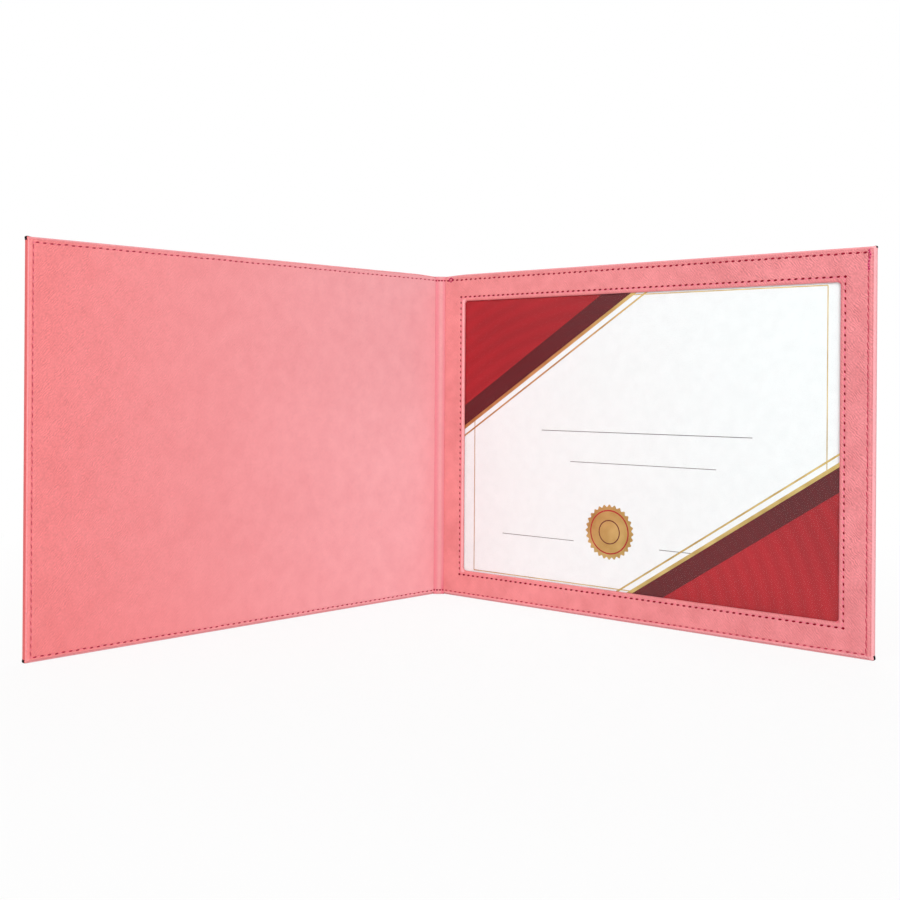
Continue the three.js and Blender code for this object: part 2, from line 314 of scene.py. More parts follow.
def leatherette(name, light, dark, deep, wrinkle, pitted, along=None, look=leatheretteLook):
    # Embossed polyurethane leatherette: dull sheen, cloudy dye, fine pebbled grain, slanted wrinkles that
    # grow along the panel; paler beside the crease as painted light, with a painted highlight and painted
    # shade over folds, edges and the gutter
    material, place = newMaterial(
        name, IOR=1.46, Specular_IOR_Level=0.3, Sheen_Weight=0.04, Sheen_Roughness=0.5)
    tree = material.node_tree
    wisp = noise(place, look["wisp"], 3.0)
    mottle = maths("MULTIPLY_ADD", noise(place, look["cloud"], 3.0), look["cloudShare"], wisp)
    tone = toneMix(ranged(mottle, *look["mottled"]), dark, light)
    patch = noise(place, look["patch"], 2.0)
    strength = ranged(patch, *look["patchy"], look["least"] * wrinkle, wrinkle)
    pitDepth, heading, swirl = pitted, 0.0, look["swirl"]
    if along:
        heading, swirl = along["heading"], along["swirl"]
        offset = add(tree, "ShaderNodeVectorMath", {0: place, 1: along["origin"]}, operation="SUBTRACT")
        away = add(tree, "ShaderNodeVectorMath", {0: offset.outputs[0], 1: along["run"]},
                   operation="DOT_PRODUCT").outputs["Value"]
        # paler towards the crease: painted light
        paler = [2 * c / (a + b) for a, b, c in zip(linear(light), linear(dark), linear(along["beside"]))]
        tone = toneMix(ranged(away, panelEnd, 0.0), tone, paler, blend_type="MULTIPLY")
        above = add(tree, "ShaderNodeSeparateXYZ", {"Vector": place}).outputs["Z"]
        grown = maths("MULTIPLY", ranged(away, *along["rougher"], look["calm"]),
                      ranged(above, 0.0, look["climb"], look["calmTail"]))
        strength = maths("MULTIPLY", strength, grown)
        pitDepth = maths("MULTIPLY", grown, pitted)
    # mixes in a painted highlight above 0 and painted shade below it
    lightPaint = add(tree, "ShaderNodeAttribute", attribute_name="paintedLight").outputs["Fac"]
    tone = toneMix(maths("MAXIMUM", lightPaint, 0.0), tone, look["highlightColour"])
    tone = toneMix(maths("MULTIPLY", lightPaint, -1.0, use_clamp=True), tone, deep)
    slant = add(tree, "ShaderNodeMapping", {"Vector": place, "Rotation": (0, -look["lean"], heading)},
                vector_type="TEXTURE")
    waveScale = waveLength / look["wrinkle"]
    crease = add(tree, "ShaderNodeTexWave", {
        "Vector": slant.outputs[0], "Scale": waveScale, "Distortion": swirl, "Detail": 2.0,
        "Detail Scale": 1 / (look["bend"] * waveScale)}, wave_type="BANDS", bands_direction="X")
    relief = maths("MULTIPLY", maths("SUBTRACT", crease.outputs["Fac"], 0.5), strength)
    cell = add(tree, "ShaderNodeTexVoronoi", {"Vector": place, "Scale": 1 / look["pebble"]},
               feature="SMOOTH_F1").outputs["Distance"]
    pits = ranged(cell, *look["cell"], 0.5, -0.5)
    shade = maths("ADD", relief, maths("MULTIPLY_ADD", pits, pitDepth, look["level"]))
    height = maths("MULTIPLY_ADD", cell, look["cellRise"], relief)
    return wired(material, Base_Color=toneMix(1.0, tone, shade, blend_type="MULTIPLY"),
                 Roughness=ranged(wisp, *look["wispy"], *look["roughness"]),
                 Normal=bumped(look["grainBump"], look["grainDepth"], height))


# A bump below is its strength and depth
def fibreStock(name, light, dark, fibre, speck,
               stretch=(0.35, 1, 1), spread=(0.12, 0.4), bump=(0.3, 0.03 * mm)):
    # Pressed board, card or paper: matte, with short fibres and specks of the pulp
    material, place = newMaterial(name, Roughness=0.88, IOR=1.45, Specular_IOR_Level=0.2)
    stretched = add(material.node_tree, "ShaderNodeMapping", {"Vector": place, "Scale": stretch}).outputs[0]
    fibres = noise(stretched, fibre, 4.0)
    both = maths("MULTIPLY", fibres, noise(place, speck, 1.0))
    return wired(material, Base_Color=toneMix(ranged(both, *spread), dark, light),
                 Normal=bumped(*bump, fibres))


def sewingThread(name, light, dark, roughness, gloss, lay=0.45 * mm, spread=(0.35, 0.65)):
    # Twisted polyester sewing thread: soft gloss, with the darker lay between its strands
    material, place = newMaterial(name, Roughness=roughness, IOR=1.5, Specular_IOR_Level=gloss)
    share = ranged(noise(place, lay, 2.0), *spread)
    return wired(material, Base_Color=toneMix(share, dark, light))


def printedInk(name, light, dark, line, depth=0.16, drift=90 * mm):
    # Offset ink on satin paper: faint wide lines over a slow change of tone, and a soft gloss
    material, place = newMaterial(name, Roughness=0.38, IOR=1.48)
    rings = add(material.node_tree, "ShaderNodeTexWave", {
        "Vector": place, "Scale": waveLength / line, "Distortion": 1.5, "Detail": 0.0, "Detail Scale": 0.03},
        wave_type="RINGS", rings_direction="Y").outputs["Fac"]
    share = maths("MULTIPLY_ADD", rings, depth, noise(place, drift, 1.0))
    return wired(material, Base_Color=toneMix(share, dark, light))


def goldFoil(name, cloud=14 * mm, peel=0.8 * mm, bump=(0.2, 0.03 * mm)):
    # Hot-stamped metal foil: mirror-like with a fine orange-peel from the paper below
    material, place = newMaterial(name, Metallic=1.0, Roughness=0.32)
    return wired(material, Base_Color=toneMix(noise(place, cloud, 2.0), "#9c7426", "#f3dd95"),
                 Normal=bumped(*bump, noise(place, peel, 1.0)))


def clearFilm(name, ripple=60 * mm, bump=(0.15, 0.5 * mm)):
    # Clear polypropylene film: almost unseen, with a smooth gloss and faint ripples
    material, place = newMaterial(name, Roughness=0.08, IOR=1.49, Alpha=0.02)
    ripples = noise(place, ripple, 1.0)
    return wired(material, Base_Color=toneMix(ripples, "#44494b", "#565b5e"),
                 Normal=bumped(*bump, ripples))


# how the skins change from the crease to the fore edge: paler beside the crease, which is painted light, and
# rougher further out
frontWay = {"origin": Vector(onFront(0, 0, 0)), "run": frontRun, "beside": "#f2abb0",
            "heading": math.atan2(frontRun.y, frontRun.x), "rougher": (190 * mm, 290 * mm), "swirl": 9.0}
backWay = {"origin": Vector(onBack(0, 0, 0)), "run": Vector((1, 0, 0)), "heading": 0.0,
           "beside": "#e58c8d", "rougher": (120 * mm, 235 * mm), "swirl": 8.0}
# the third colour of each is its painted shade
coverSkin = leatherette("pinkLeatheretteCover", "#ee8e90", "#e88588", "#d45e5e", 0.12, 0.08)
liningSkin = leatherette("pinkLeatheretteLining", "#f08687", "#ea7f80", "#e27a89", 0.18, 0.13, frontWay)
# paler than the other pieces of the same leatherette: painted light on the spine's lit ridge
spineSkin = leatherette("pinkLeatheretteSpine", "#e69fa1", "#e09799", "#e27a89", 0.05, 0.04)
frameSkinFinish = leatherette("pinkLeatheretteFrame", "#e38a8e", "#d57c80", "#e2707e", 0.36, 0.18, backWay)
rawCorner = fibreStock("blackBackingCloth", "#140d0e", "#060405", 0.4 * mm, 1.2 * mm)
faintThread = sewingThread("faintRoseSewingThread", "#c8445c", "#a02c46", 0.7, 0.1)
crimsonThread = sewingThread("crimsonSewingThread", "#a81c38", "#720c22", 0.7, 0.1)
roseThread = sewingThread("roseSewingThread", "#bc3850", "#8e2038", 0.7, 0.1)
magentaThread = sewingThread("magentaSewingThread", "#d43a74", "#a41a4c", 0.6, 0.15)
# pink thread, also laid as marks that paint a highlight between stitches
pinkThread = sewingThread("pinkSewingThread", "#f0849c", "#e06a86", 0.55, 0.25)
# dark marks on needle holes: painted shade
holeShade = sewingThread("shadedNeedleHole", "#94142c", "#66081a", 0.95, 0.02)
greyboard = fibreStock("pressedGreyboard", "#a59e94", "#877f76", 0.8 * mm, 2.5 * mm)
card = fibreStock("whiteLinedCard", "#ddd8cd", "#c9c2b4", 0.5 * mm, 3 * mm)
linerPaper = fibreStock("blackLinerPaper", "#343031", "#211e1f", 0.4 * mm, 2 * mm)
# the faint cyan tint is painted light, set against the pink light that the leatherette bounces onto the
# sheet
sheetPaper = fibreStock("satinCertificatePaper", "#f2fafa", "#eef6f6", 0.5 * mm, 6 * mm)
crimsonInk = printedInk("crimsonOffsetInk", "#c01a26", "#7a0812", 9 * mm)
maroonInk = printedInk("maroonOffsetInk", "#6a0a14", "#430409", 6 * mm)
greyInk = printedInk("greyOffsetInk", "#6d6a6a", "#4c4a4a", 3 * mm)
gold = goldFoil("stampedGoldFoil")
film = clearFilm("clearPolypropyleneFilm")
print("materials made")


# Seams: straight legs between the corners where the needle turned, and how they draw the leatherette in
stitching = {
    "pitch": 4.1 * mm,
    "start": 2.4 * mm,  # first hole of a panel's seam, from the crease
    "draw": 0.24 * mm,  # how deep the thread pulls the skin in at a needle hole
    "drawWidth": 0.6 * mm,
    "pillow": 0.1 * mm,  # swell on both sides of the line
    "pillowAt": 1.35 * mm,
    "pillowWidth": 0.75 * mm,
    "slack": 0.4,  # share of the groove that is left between two holes, and of the swell that a hole takes
}


def seamLegs(left, right, bottom, top, closed):
    corners = [(left, bottom), (right, bottom), (right, top), (left, top)]
    legs = list(zip(corners, corners[1:] + corners[:1]))
    return legs if closed else legs[:3]


def stitchCount(length):
    return max(1, round(length / stitching["pitch"]))


def drawnIn(u, v, legs, seam=stitching):
    # rise of a sewn face over its flat one: a groove along the seam, deepest at the holes, with soft swells
    nearest, hold = np.full(np.shape(u), np.inf), np.zeros(np.shape(u))
    for (u0, v0), (u1, v1) in legs:
        length = math.hypot(u1 - u0, v1 - v0)
        along = np.clip(((u - u0) * (u1 - u0) + (v - v0) * (v1 - v0)) / length, 0, length)
        away = np.hypot(u - u0 - along * (u1 - u0) / length, v - v0 - along * (v1 - v0) / length)
        wave = 0.5 + 0.5 * np.cos(2 * np.pi * along * stitchCount(length) / length)
        hold = np.where(away < nearest, wave, hold)
        nearest = np.minimum(away, nearest)
    slack = seam["slack"]
    groove = seam["draw"] * np.exp(-(nearest / seam["drawWidth"]) ** 2) * (slack + (1 - slack) * hold)
    swell = seam["pillow"] * np.exp(-((nearest - seam["pillowAt"]) / seam["pillowWidth"]) ** 2)
    return swell * (1 - slack * hold) - groove


edgeSeam = seamLegs(stitching["start"], panelEnd - seamInset, seamInset, panelHeight - seamInset, False)

# Rings of points round a panel or the window
edgeSteps = {"long": 380, "arc": 7, "short": 284, "end": 26}


def ringPath(left, right, bottom, top, radius, steps, closed):
    # along the tail, up the fore edge and back along the head, and a closed ring also down beside the spine
    start = left + radius * closed
    long = np.linspace(start, right - radius, steps["long"], endpoint=False)
    short = np.linspace(bottom + radius, top - radius, steps["short"], endpoint=False)
    arc = np.linspace(0, np.pi / 2, steps["arc"], endpoint=False)
    s, c = radius * np.sin(arc), radius * np.cos(arc)
    u = [long, right - radius + s, 0 * short + right, right - radius + c, start + right - radius - long]
    v = [0 * long + bottom, bottom + radius - c, short, top - radius + s, 0 * long + top]
    if closed:
        u += [left + radius - s, 0 * short + left, left + radius - c]
        v += [top - radius + c, bottom + top - short, bottom + radius - s]
    return np.concatenate(u + [[start]]), np.concatenate(v + [[bottom if closed else top]])


def panelRings(stations, start, face, sign):
    # stations are (inset, depth); where they lie on the face, the seam draws them in
    u, v, d = [], [], []
    for inset, depth in stations:
        radius = max(cornerRadius - inset, tightRadius)
        right, top = panelEnd - inset, panelHeight - inset
        ringU, ringV = ringPath(start, right, inset, top, radius, edgeSteps, False)
        sewnFace = abs(depth - face) < onFace
        u.append(ringU)
        v.append(ringV)
        d.append(depth + sign * sewnFace * drawnIn(ringU, ringV, edgeSeam))
    return np.array(u), np.array(v), np.array(d)


def quarterRound(inset, depth, radius, fromAngle, toAngle, steps):
    # stations on an arc about a centre, angle 0 towards the panel's edge and 90 inwards to larger d
    angles = np.radians(np.linspace(fromAngle, toAngle, steps))
    return [(inset - radius * math.cos(a), depth + radius * math.sin(a)) for a in angles]


# across a seam
seamOffsets = [x * mm for x in (-0.75, -0.45, -0.2, 0, 0.2, 0.45, 0.75, 1.25, 1.9, 2.8, 4.2)]
seamStations = [seamInset + x for x in seamOffsets]


# One skin of a panel: its rings, one flat face within them, and a strip at the crease that bends the section
def panelSkin(place, rings, bent):
    u, v, d = rings
    inner = np.linspace(v[-1, 0], v[-1, -1], edgeSteps["end"])[1:-1]
    sectionV = np.concatenate([v[:, 0], inner, v[::-1, -1]])
    sectionD = np.concatenate([d[:, 0], 0 * inner + d[-1, 0], d[::-1, -1]])
    flat = np.concatenate([place(u[-1], v[-1], d[-1]), place(u[-1, 0], inner[::-1], d[-1, 0])])
    return [place(u, v, d), place(*bent(sectionV, sectionD))], [flat]


def paintedTailHighlight(v, rounding, share):
    # painted highlight along the rounded tail of a lining or a frame
    return share * (1 - smooth(v - faceInset, 0.5 * rounding, 1.5 * rounding))


# Front lining: a stitched face that rolls down over the board's end into the gutter
# the last two shares are painted shade down the roll into the gutter and a painted highlight along the
# rounded tail
lining = {"roll": 1.5 * mm, "lipDepth": 1.0 * mm, "rollSteps": 9, "gutterShade": 0.6, "tailHighlight": 0.25}


def makeFrontLining(size=lining):
    edge = quarterRound(faceInset + leather, liningFront - leather, leather, 0, 90, roundSteps)
    stations = edge + [(inset, liningFront) for inset in seamStations]
    start = panelStart + size["roll"]

    def gutterRoll(v, d):
        # each point keeps its distance below the face while the skin turns down
        reach = size["roll"] - (liningFront - d)
        rows = [(start - reach * np.sin(a), liningFront - size["roll"] + reach * np.cos(a))
                for a in np.linspace(0, np.pi / 2, size["rollSteps"])]
        rows.append((rows[-1][0], 0 * d + size["lipDepth"]))
        u, depth = (np.array(column) for column in zip(*rows))
        return u, np.broadcast_to(v, u.shape), depth

    rings = panelRings(stations, start, liningFront, 1)
    patches, polygons = panelSkin(onFront, rings, gutterRoll)
    # painted highlight along the rounded tail, painted shade down the roll
    paintedLight = [paintedTailHighlight(rings[1], leather, size["tailHighlight"]), np.zeros(patches[1].shape[:2])]
    paintedLight[1] -= size["gutterShade"] * smooth(np.arange(size["rollSteps"] + 1), 0, size["rollSteps"] - 2)[:, None]
    mesh = meshFrom("frontLiningSkin", patches, paintedLight, polygons, inward["front"])
    piece = softShaded(thickened(addPiece("frontLiningSkin", mesh, [liningSkin]), skinThickness))
    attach(piece, "front_panel")
    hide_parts("front_lining")


makeFrontLining()
print("front lining made")


# Outer cover: turned over the boards, and bent at the creases; each half runs to the middle of the spine
cover = {
    "edgeRadius": 1.2 * mm,
    "hem": 5.5 * mm,
    "bendStart": 2.6 * mm,
    "thin": (0.3 * mm, 2.0 * mm),  # the section thins from the board's end to the crease
    "tipFlare": 0.6 * mm,
    # shade is the depth where the painted shade of the fore edge gives way to a painted highlight over its
    # fold;
    # the next two entries are how strong that highlight is and how strong the painted highlight over the
    # folds of the tail and the head is, and tips how far from the tail's and the head's corner the black
    # backing shows, down to tipDepth
    "back": {"shade": 1.3 * mm, "pale": 0.52, "rims": (0.5, 0.35), "tips": (2.9 * mm, 1.8 * mm)},
    "front": {"shade": 3.3 * mm, "pale": 0.18, "rims": (0.5, 0.35), "tips": (2.2 * mm, 2.2 * mm)},
    "tipDepth": 3.5 * mm,
    "shadeFade": 0.3 * mm,
    "foreReach": (3 * mm, 1.2 * mm),  # from the fore edge: where its painted shade and highlight begin and where they are full
    "rimFull": 0.5 * mm,  # inset up to which a rim keeps its painted highlight and the fore edge its painted shade
    "rimEnd": 1.4 * mm,
    # across the crease, in mm from its line
    "bends": (2.6, 2.2, 1.8, 1.4, 1.1, 0.8, 0.5, 0.25, 0, -0.25, -0.5, -0.8, -1.1, -1.5, -2.5),
}


def makeCover(side, place, size=cover):
    name, edge = side + "CoverSkin", size[side]
    radius = size["edgeRadius"]
    inner = quarterRound(radius, hemFront - radius, radius, 90, 0, roundSteps)
    outer = quarterRound(radius, radius, radius, 0, -90, roundSteps)
    shadeEnd = edge["shade"] + size["shadeFade"]
    between = [(0.0, d) for d in (shadeEnd, edge["shade"]) if d < hemFront - radius]
    stations = [(size["hem"], hemFront), (seamInset, hemFront)] + inner + between + outer
    stations += [(inset, 0.0) for inset in seamStations]
    u, v, d = panelRings(stations, size["bendStart"], 0.0, -1)
    inset, depth = (np.array(column)[:, None] for column in zip(*stations))
    fromCorner = np.maximum(panelEnd - u, np.minimum(v, panelHeight - v))
    lower = v < panelHeight / 2
    tip = np.where(lower, *edge["tips"])
    onTip = (fromCorner < tip) & (inset <= radius) & (depth <= size["tipDepth"])
    flare = onTip * size["tipFlare"] * (1 - fromCorner / tip)
    rings = u + flare, v + flare * (v > panelHeight / 2), d

    def creaseBend(sectionV, sectionD):
        bends = np.append(np.array(size["bends"]) * mm, -spineWidth / 2)[:, None]
        share = spineFront / hemFront + (1 - spineFront / hemFront) * smooth(bends, *size["thin"])
        depth = np.where(sectionD > 0, sectionD * share, sectionD)
        return bends + 0 * depth, np.broadcast_to(sectionV, depth.shape), depth

    patches, polygons = panelSkin(place, rings, creaseBend)
    # painted shade on the outer part of the fore edge's fold, a painted highlight over the rest of it, and
    # painted highlights over the folds of the tail and the head
    foreEdge = smooth(u, *(panelEnd - reach for reach in size["foreReach"]))
    folded = smooth(depth, edge["shade"], shadeEnd)
    pale = edge["pale"] * folded * (inset <= radius)
    deep = (1 - smooth(inset, size["rimFull"], radius)) * (1 - folded)
    rim = np.where(lower, *edge["rims"]) * (1 - smooth(inset, size["rimFull"], size["rimEnd"]))
    paintedLight = foreEdge * (pale - deep) + (1 - foreEdge) * rim
    none = np.zeros(patches[1].shape[:2])
    tones = [(onTip[:-1, :-1] & onTip[1:, 1:]).astype(int), none[1:, 1:].astype(int)]
    mesh = meshFrom(name, patches, [paintedLight, none], polygons, -inward[side], tones)
    piece = softShaded(thickened(addPiece(name, mesh, [coverSkin, rawCorner]), skinThickness))
    start = Vector(place(1.0 * mm, 0, hingeDepth))
    outwards = Vector(place(panelEnd, 0, hingeDepth) - place(panelEnd / 2, 0, hingeDepth)).normalized()
    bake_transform(piece)
    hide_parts(side + "_cover", "spine_cover")


makeCover("back", onBack)
makeCover("front", onFront)
print("covers made")


# Spine lining: a soft ridge between the rolled edges
ridge = {
    "edge": 0.4 * mm,  # from a crease line
    "base": 1.0 * mm,
    "shoulder": 1.9 * mm,
    "crown": 5.5 * mm,
    "valleys": (4.95 * mm, 5.2 * mm),  # depths beside the front panel and beside the back one
    "flanks": (2.9 * mm, 2.2 * mm),  # widths of the slopes from the valleys up to the crown
    "gutterShade": (0.66, 0.6),  # painted shade in the valleys
    "paintedDarkening": (4.0 * mm, 2.8 * mm),  # how far the painted shade reaches up the slopes
    "tailShade": (0.4, 3 * mm, 16 * mm),  # more painted shade at the back panel's tail, fading between two heights
    "foot": 0.15 * mm,  # above the tail and below the head
    "endRound": 0.8 * mm,
    "endHeight": 0.7,  # share of the ridge's height that is left at its ends
    "seamDraw": 1.6 * stitching["draw"],
    "shadeFull": 0.25,  # share of its reach over which the painted shade keeps its depth
    "across": 40,
    "up": 22,
    # steps from the tail and from the head, in mm
    "ends": (0, 0.12, 0.3, 0.6, 1.0, 1.5, 2.0, 2.4, 2.65, 2.8, 2.95, 3.1, 3.3, 3.6, 4, 5, 7, 9),
    "keep": 0.27,
}
frameRound = 1.2 * mm  # rounding of the window frame's outer edges
# painted shade along the frame's end beside the spine
frameGutterShade = 0.3


def ridgeReach():
    # where the rolled edges of the lining and the frame stand furthest over the spine
    def foremost(faceDepth, roll):
        u, d = panelStart + roll, faceDepth - roll - hingeDepth
        return d * math.sin(fold) - u * math.cos(fold) + roll

    return -spineWidth + foremost(liningFront, lining["roll"]), -foremost(frameFront, frameRound)


def ridgeDepth(s, v, size=ridge):
    low, high = ridgeReach()
    nearFront = s < (low + high) / 2
    fromRoll = np.where(nearFront, s - low, high - s)
    valley = np.where(nearFront, *size["valleys"])
    crown = valley + (size["crown"] - valley) * smooth(fromRoll, 0, np.where(nearFront, *size["flanks"]))
    edge = np.where(nearFront, low + spineWidth, -high) - size["edge"]
    flank = np.sqrt(np.clip(1 - (np.clip(-fromRoll, 0, None) / edge) ** 2, 0, 1))
    fromEnd = np.minimum(v, panelHeight - v) - size["foot"]
    rounded = np.sqrt(np.clip(1 - np.clip(1 - fromEnd / size["endRound"], 0, 1) ** 2, 0, 1))
    across = np.minimum(np.abs(v - seamInset), np.abs(v - panelHeight + seamInset))
    groove = size["seamDraw"] * np.exp(-(across / stitching["drawWidth"]) ** 2)
    ends = size["endHeight"] + (1 - size["endHeight"]) * rounded
    return size["shoulder"] + (crown - size["shoulder"]) * flank * ends - groove


def flattenWithFold(piece):
    anchor = Vector(onSpine(-spineWidth / 2, 0, ridge["base"]))
    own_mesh(piece)


def makeSpineLining(size=ridge):
    half = spineWidth / 2 - size["edge"]
    s = -spineWidth / 2 + half * np.cos(np.linspace(0, np.pi, size["across"]))
    foot = size["foot"] + np.array(size["ends"]) * mm
    between = np.linspace(foot[-1], panelHeight - foot[-1], size["up"])[1:-1]
    v = np.concatenate([foot, between, panelHeight - foot[::-1]])
    grid = np.meshgrid(s, v, indexing="ij")
    top = onSpine(grid[0], grid[1], ridgeDepth(*grid))
    low, high = ridgeReach()
    # painted shade in the valleys beside the rolled edges, more of it at the back panel's tail
    slopes = [share * (1 - smooth(away, size["shadeFull"] * reach, reach))
              for share, reach, away in zip(size["gutterShade"], size["paintedDarkening"], (grid[0] - low, high - grid[0]))]
    more, full, none = size["tailShade"]
    slopes[1] *= 1 + more / size["gutterShade"][1] * (1 - smooth(grid[1], full, none))
    paintedDarkening = np.maximum(*slopes)
    under = np.stack([onSpine(x, v, size["base"]) for x in (s[-1], s[0])])
    loop = np.concatenate([top, under, top[:1]])
    paintedLight = -np.concatenate([paintedDarkening, 0 * paintedDarkening[:2], paintedDarkening[:1]])
    mesh = meshFrom("spineLiningSkin", [loop], [paintedLight], [loop[:-1, 0], loop[:-1, -1]])
    piece = softShaded(addPiece("spineLiningSkin", mesh, [spineSkin]), angle=60)
    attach(piece, "spine")
    flattenWithFold(piece)
    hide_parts("spine_lining")


makeSpineLining()
print("spine lining made")


# Window frame: leatherette turned over a card ring, padded between the seam and the window
window = {
    "seamInset": 2.9 * mm,
    "radius": 2.2 * mm,
    "lipRound": 1.0 * mm,
    "lipSwell": 0.1 * mm,
    "swellAt": 1.6 * mm,
    "swellWidth": 0.7 * mm,
    "lipLightAndShade": (0.5, -0.9),  # painted highlight over the turn beside the spine, painted shade under the one at the fore edge
    "lipOver": (0, 0.3, 0.9, 1.6),  # where the painted highlight rises and falls, in shares of the rounding
    "lipUnder": (0.35, 0.9),  # where the painted shade falls
    # painted highlight along the rounded tail
    "tailHighlight": 0.5,
    "gutterShadeReach": (0.3 * mm, 1.8 * mm),  # of the painted shade, from the end beside the spine
    "growth": (0.3, 0.5),  # of a ring's corners, out from the window and in from the edge
    "long": 400,
    "short": 288,
    "arc": 10,
}
seamBox = (ringLow.x + threadWidth / 2 - backAxis.x, ringHigh.x - threadWidth / 2 - backAxis.x,
           ringLow.z + threadWidth / 2, ringHigh.z - threadWidth / 2)
windowSeam = seamLegs(*seamBox, True)
for end, seam, sign in zip(("left", "right", "bottom", "top"), seamBox, (1, -1, 1, -1)):
    window[end] = seam + sign * window["seamInset"]
border = window["bottom"] - faceInset
spineBorder = window["left"] - panelStart


def windowPath(spineOut, out, radius):
    left, right, bottom, top = (window[end] for end in ("left", "right", "bottom", "top"))
    return ringPath(left - spineOut, right + out, bottom - out, top + out, radius, window, True)


def makeFrameSkin(size=window):
    lip, edge = size["lipRound"], frameRound
    outGrowth, inGrowth = size["growth"]
    fromWindow = [(0, faceBack)] + quarterRound(lip, frameFront - lip, lip, 0, 90, roundSteps)
    fromWindow += [(size["swellAt"], frameFront)]
    fromWindow += [(size["seamInset"] + x, frameFront) for x in seamOffsets]
    fromEdge = [(inset - faceInset, frameFront) for inset in seamStations[::-1]]
    fromEdge += quarterRound(edge, frameFront - edge, edge, 0, 90, roundSteps)[::-1]
    fromEdge += [(0, faceBack), (leather, faceBack), (leather, frameFront - leather)]
    rows, paintedLight = [], []

    def addRing(u, v, depth, padding=0, lipLightAndShade=0):
        # painted shade beside the spine and a painted highlight along the rounded tail
        gutterShade = frameGutterShade * (1 - smooth(u - panelStart, *size["gutterShadeReach"]))
        paintedLight.append(lipLightAndShade - gutterShade + paintedTailHighlight(v, edge, size["tailHighlight"]))
        sewnFace = depth >= frameFront - onFace
        rise = drawnIn(u, v, windowSeam) + drawnIn(u, v, edgeSeam) + padding
        rows.append(onBack(u, v, depth + sewnFace * rise))

    for out, depth in fromWindow:
        corner = max(size["radius"] - out, tightRadius)
        if out >= size["radius"]:
            corner = tightRadius + outGrowth * out
        padding = size["lipSwell"] * math.exp(-((out - size["swellAt"]) / size["swellWidth"]) ** 2)
        u, v = windowPath(out, out, corner)
        # painted highlight over the lip's turn beside the spine, painted shade under its turn at the fore
        # edge
        rise, risen, fall, fallen = size["lipOver"]
        over = smooth(out / lip, rise, risen) * (1 - smooth(out / lip, fall, fallen))
        under = 1 - smooth(out / lip, *size["lipUnder"])
        left, right = (1 - smooth(np.abs(u - size[end]), lip, 2 * lip) for end in ("left", "right"))
        lightPaint, paintedDarkening = size["lipLightAndShade"]
        addRing(u, v, depth, padding, lightPaint * over * left + paintedDarkening * under * right)
    for inset, depth in fromEdge:
        corner = max(cornerRadius - faceInset, tightRadius) + inGrowth * inset
        addRing(*windowPath(spineBorder - inset, border - inset, corner), depth)
    for out, depth in ((leather, frameFront - leather), (leather, faceBack)):
        addRing(*windowPath(out, out, size["radius"]), depth)
    rows.append(rows[0])
    paintedLight.append(paintedLight[0])
    mesh = meshFrom("windowFrameSkin", [np.array(rows)], [np.array(paintedLight)])
    piece = softShaded(addPiece("windowFrameSkin", mesh, [frameSkinFinish]))
    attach(piece, "back_panel")
    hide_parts("frame_skin")


makeFrameSkin()
print("window frame made")


# Stitches: a node tree lays a bowed thread between needle holes along each leg of a seam, and a flattened
# mark on each hole, painted shade where the mark is dark and a painted highlight between stitches where it
# is pink.
# By look: thread, hole mark, the hole mark's half sizes and the thread's radius in mm, from where to where a
# stitch runs in its pitch, its rise in mm and its slant in degrees
stitchLooks = {
    "edge": (crimsonThread, crimsonThread, (0.25, 0.2, 0.1), 0.62, (0.23, 0.77), 0.1, 6),
    "lining": (roseThread, pinkThread, (0.5, 0.24, 0.1), 0.4, (0.24, 0.76), 0.12, 5),
    "fore": (faintThread, pinkThread, (0.45, 0.24, 0.1), 0.28, (0.16, 0.84), 0.08, 9),
    "drawn": (faintThread, roseThread, (0.35, 0.2, 0.1), 0.32, (0.05, 0.95), 0.06, 7),
    "window": (pinkThread, holeShade, (0.95, 0.48, 0.2), 0.28, (0.15, 0.85), 0.14, 10),
    "level": (pinkThread, holeShade, (1.15, 0.6, 0.22), 0.28, (0.2, 0.8), 0.14, 10),
    "spine": (pinkThread, crimsonThread, (0.7, 0.62, 0.3), 0.25, (0.2, 0.8), 0.1, 0),
    "tack": (magentaThread, holeShade, (0.45, 0.45, 0.3), 0.44, (0.0, 1.0), 0.2, 0),
    "overlap": (magentaThread, pinkThread, (0.55, 0.5, 0.3), 0.52, (0.32, 0.72), 0.2, 0),
}
stitchSway = math.radians(4)
stitchSeed = 7
threadSink = 0.1 * mm
threadTaper = -2.6
threadSteps = {"bow": 6, "round": 7, "holeRound": 9, "holeRings": 5}


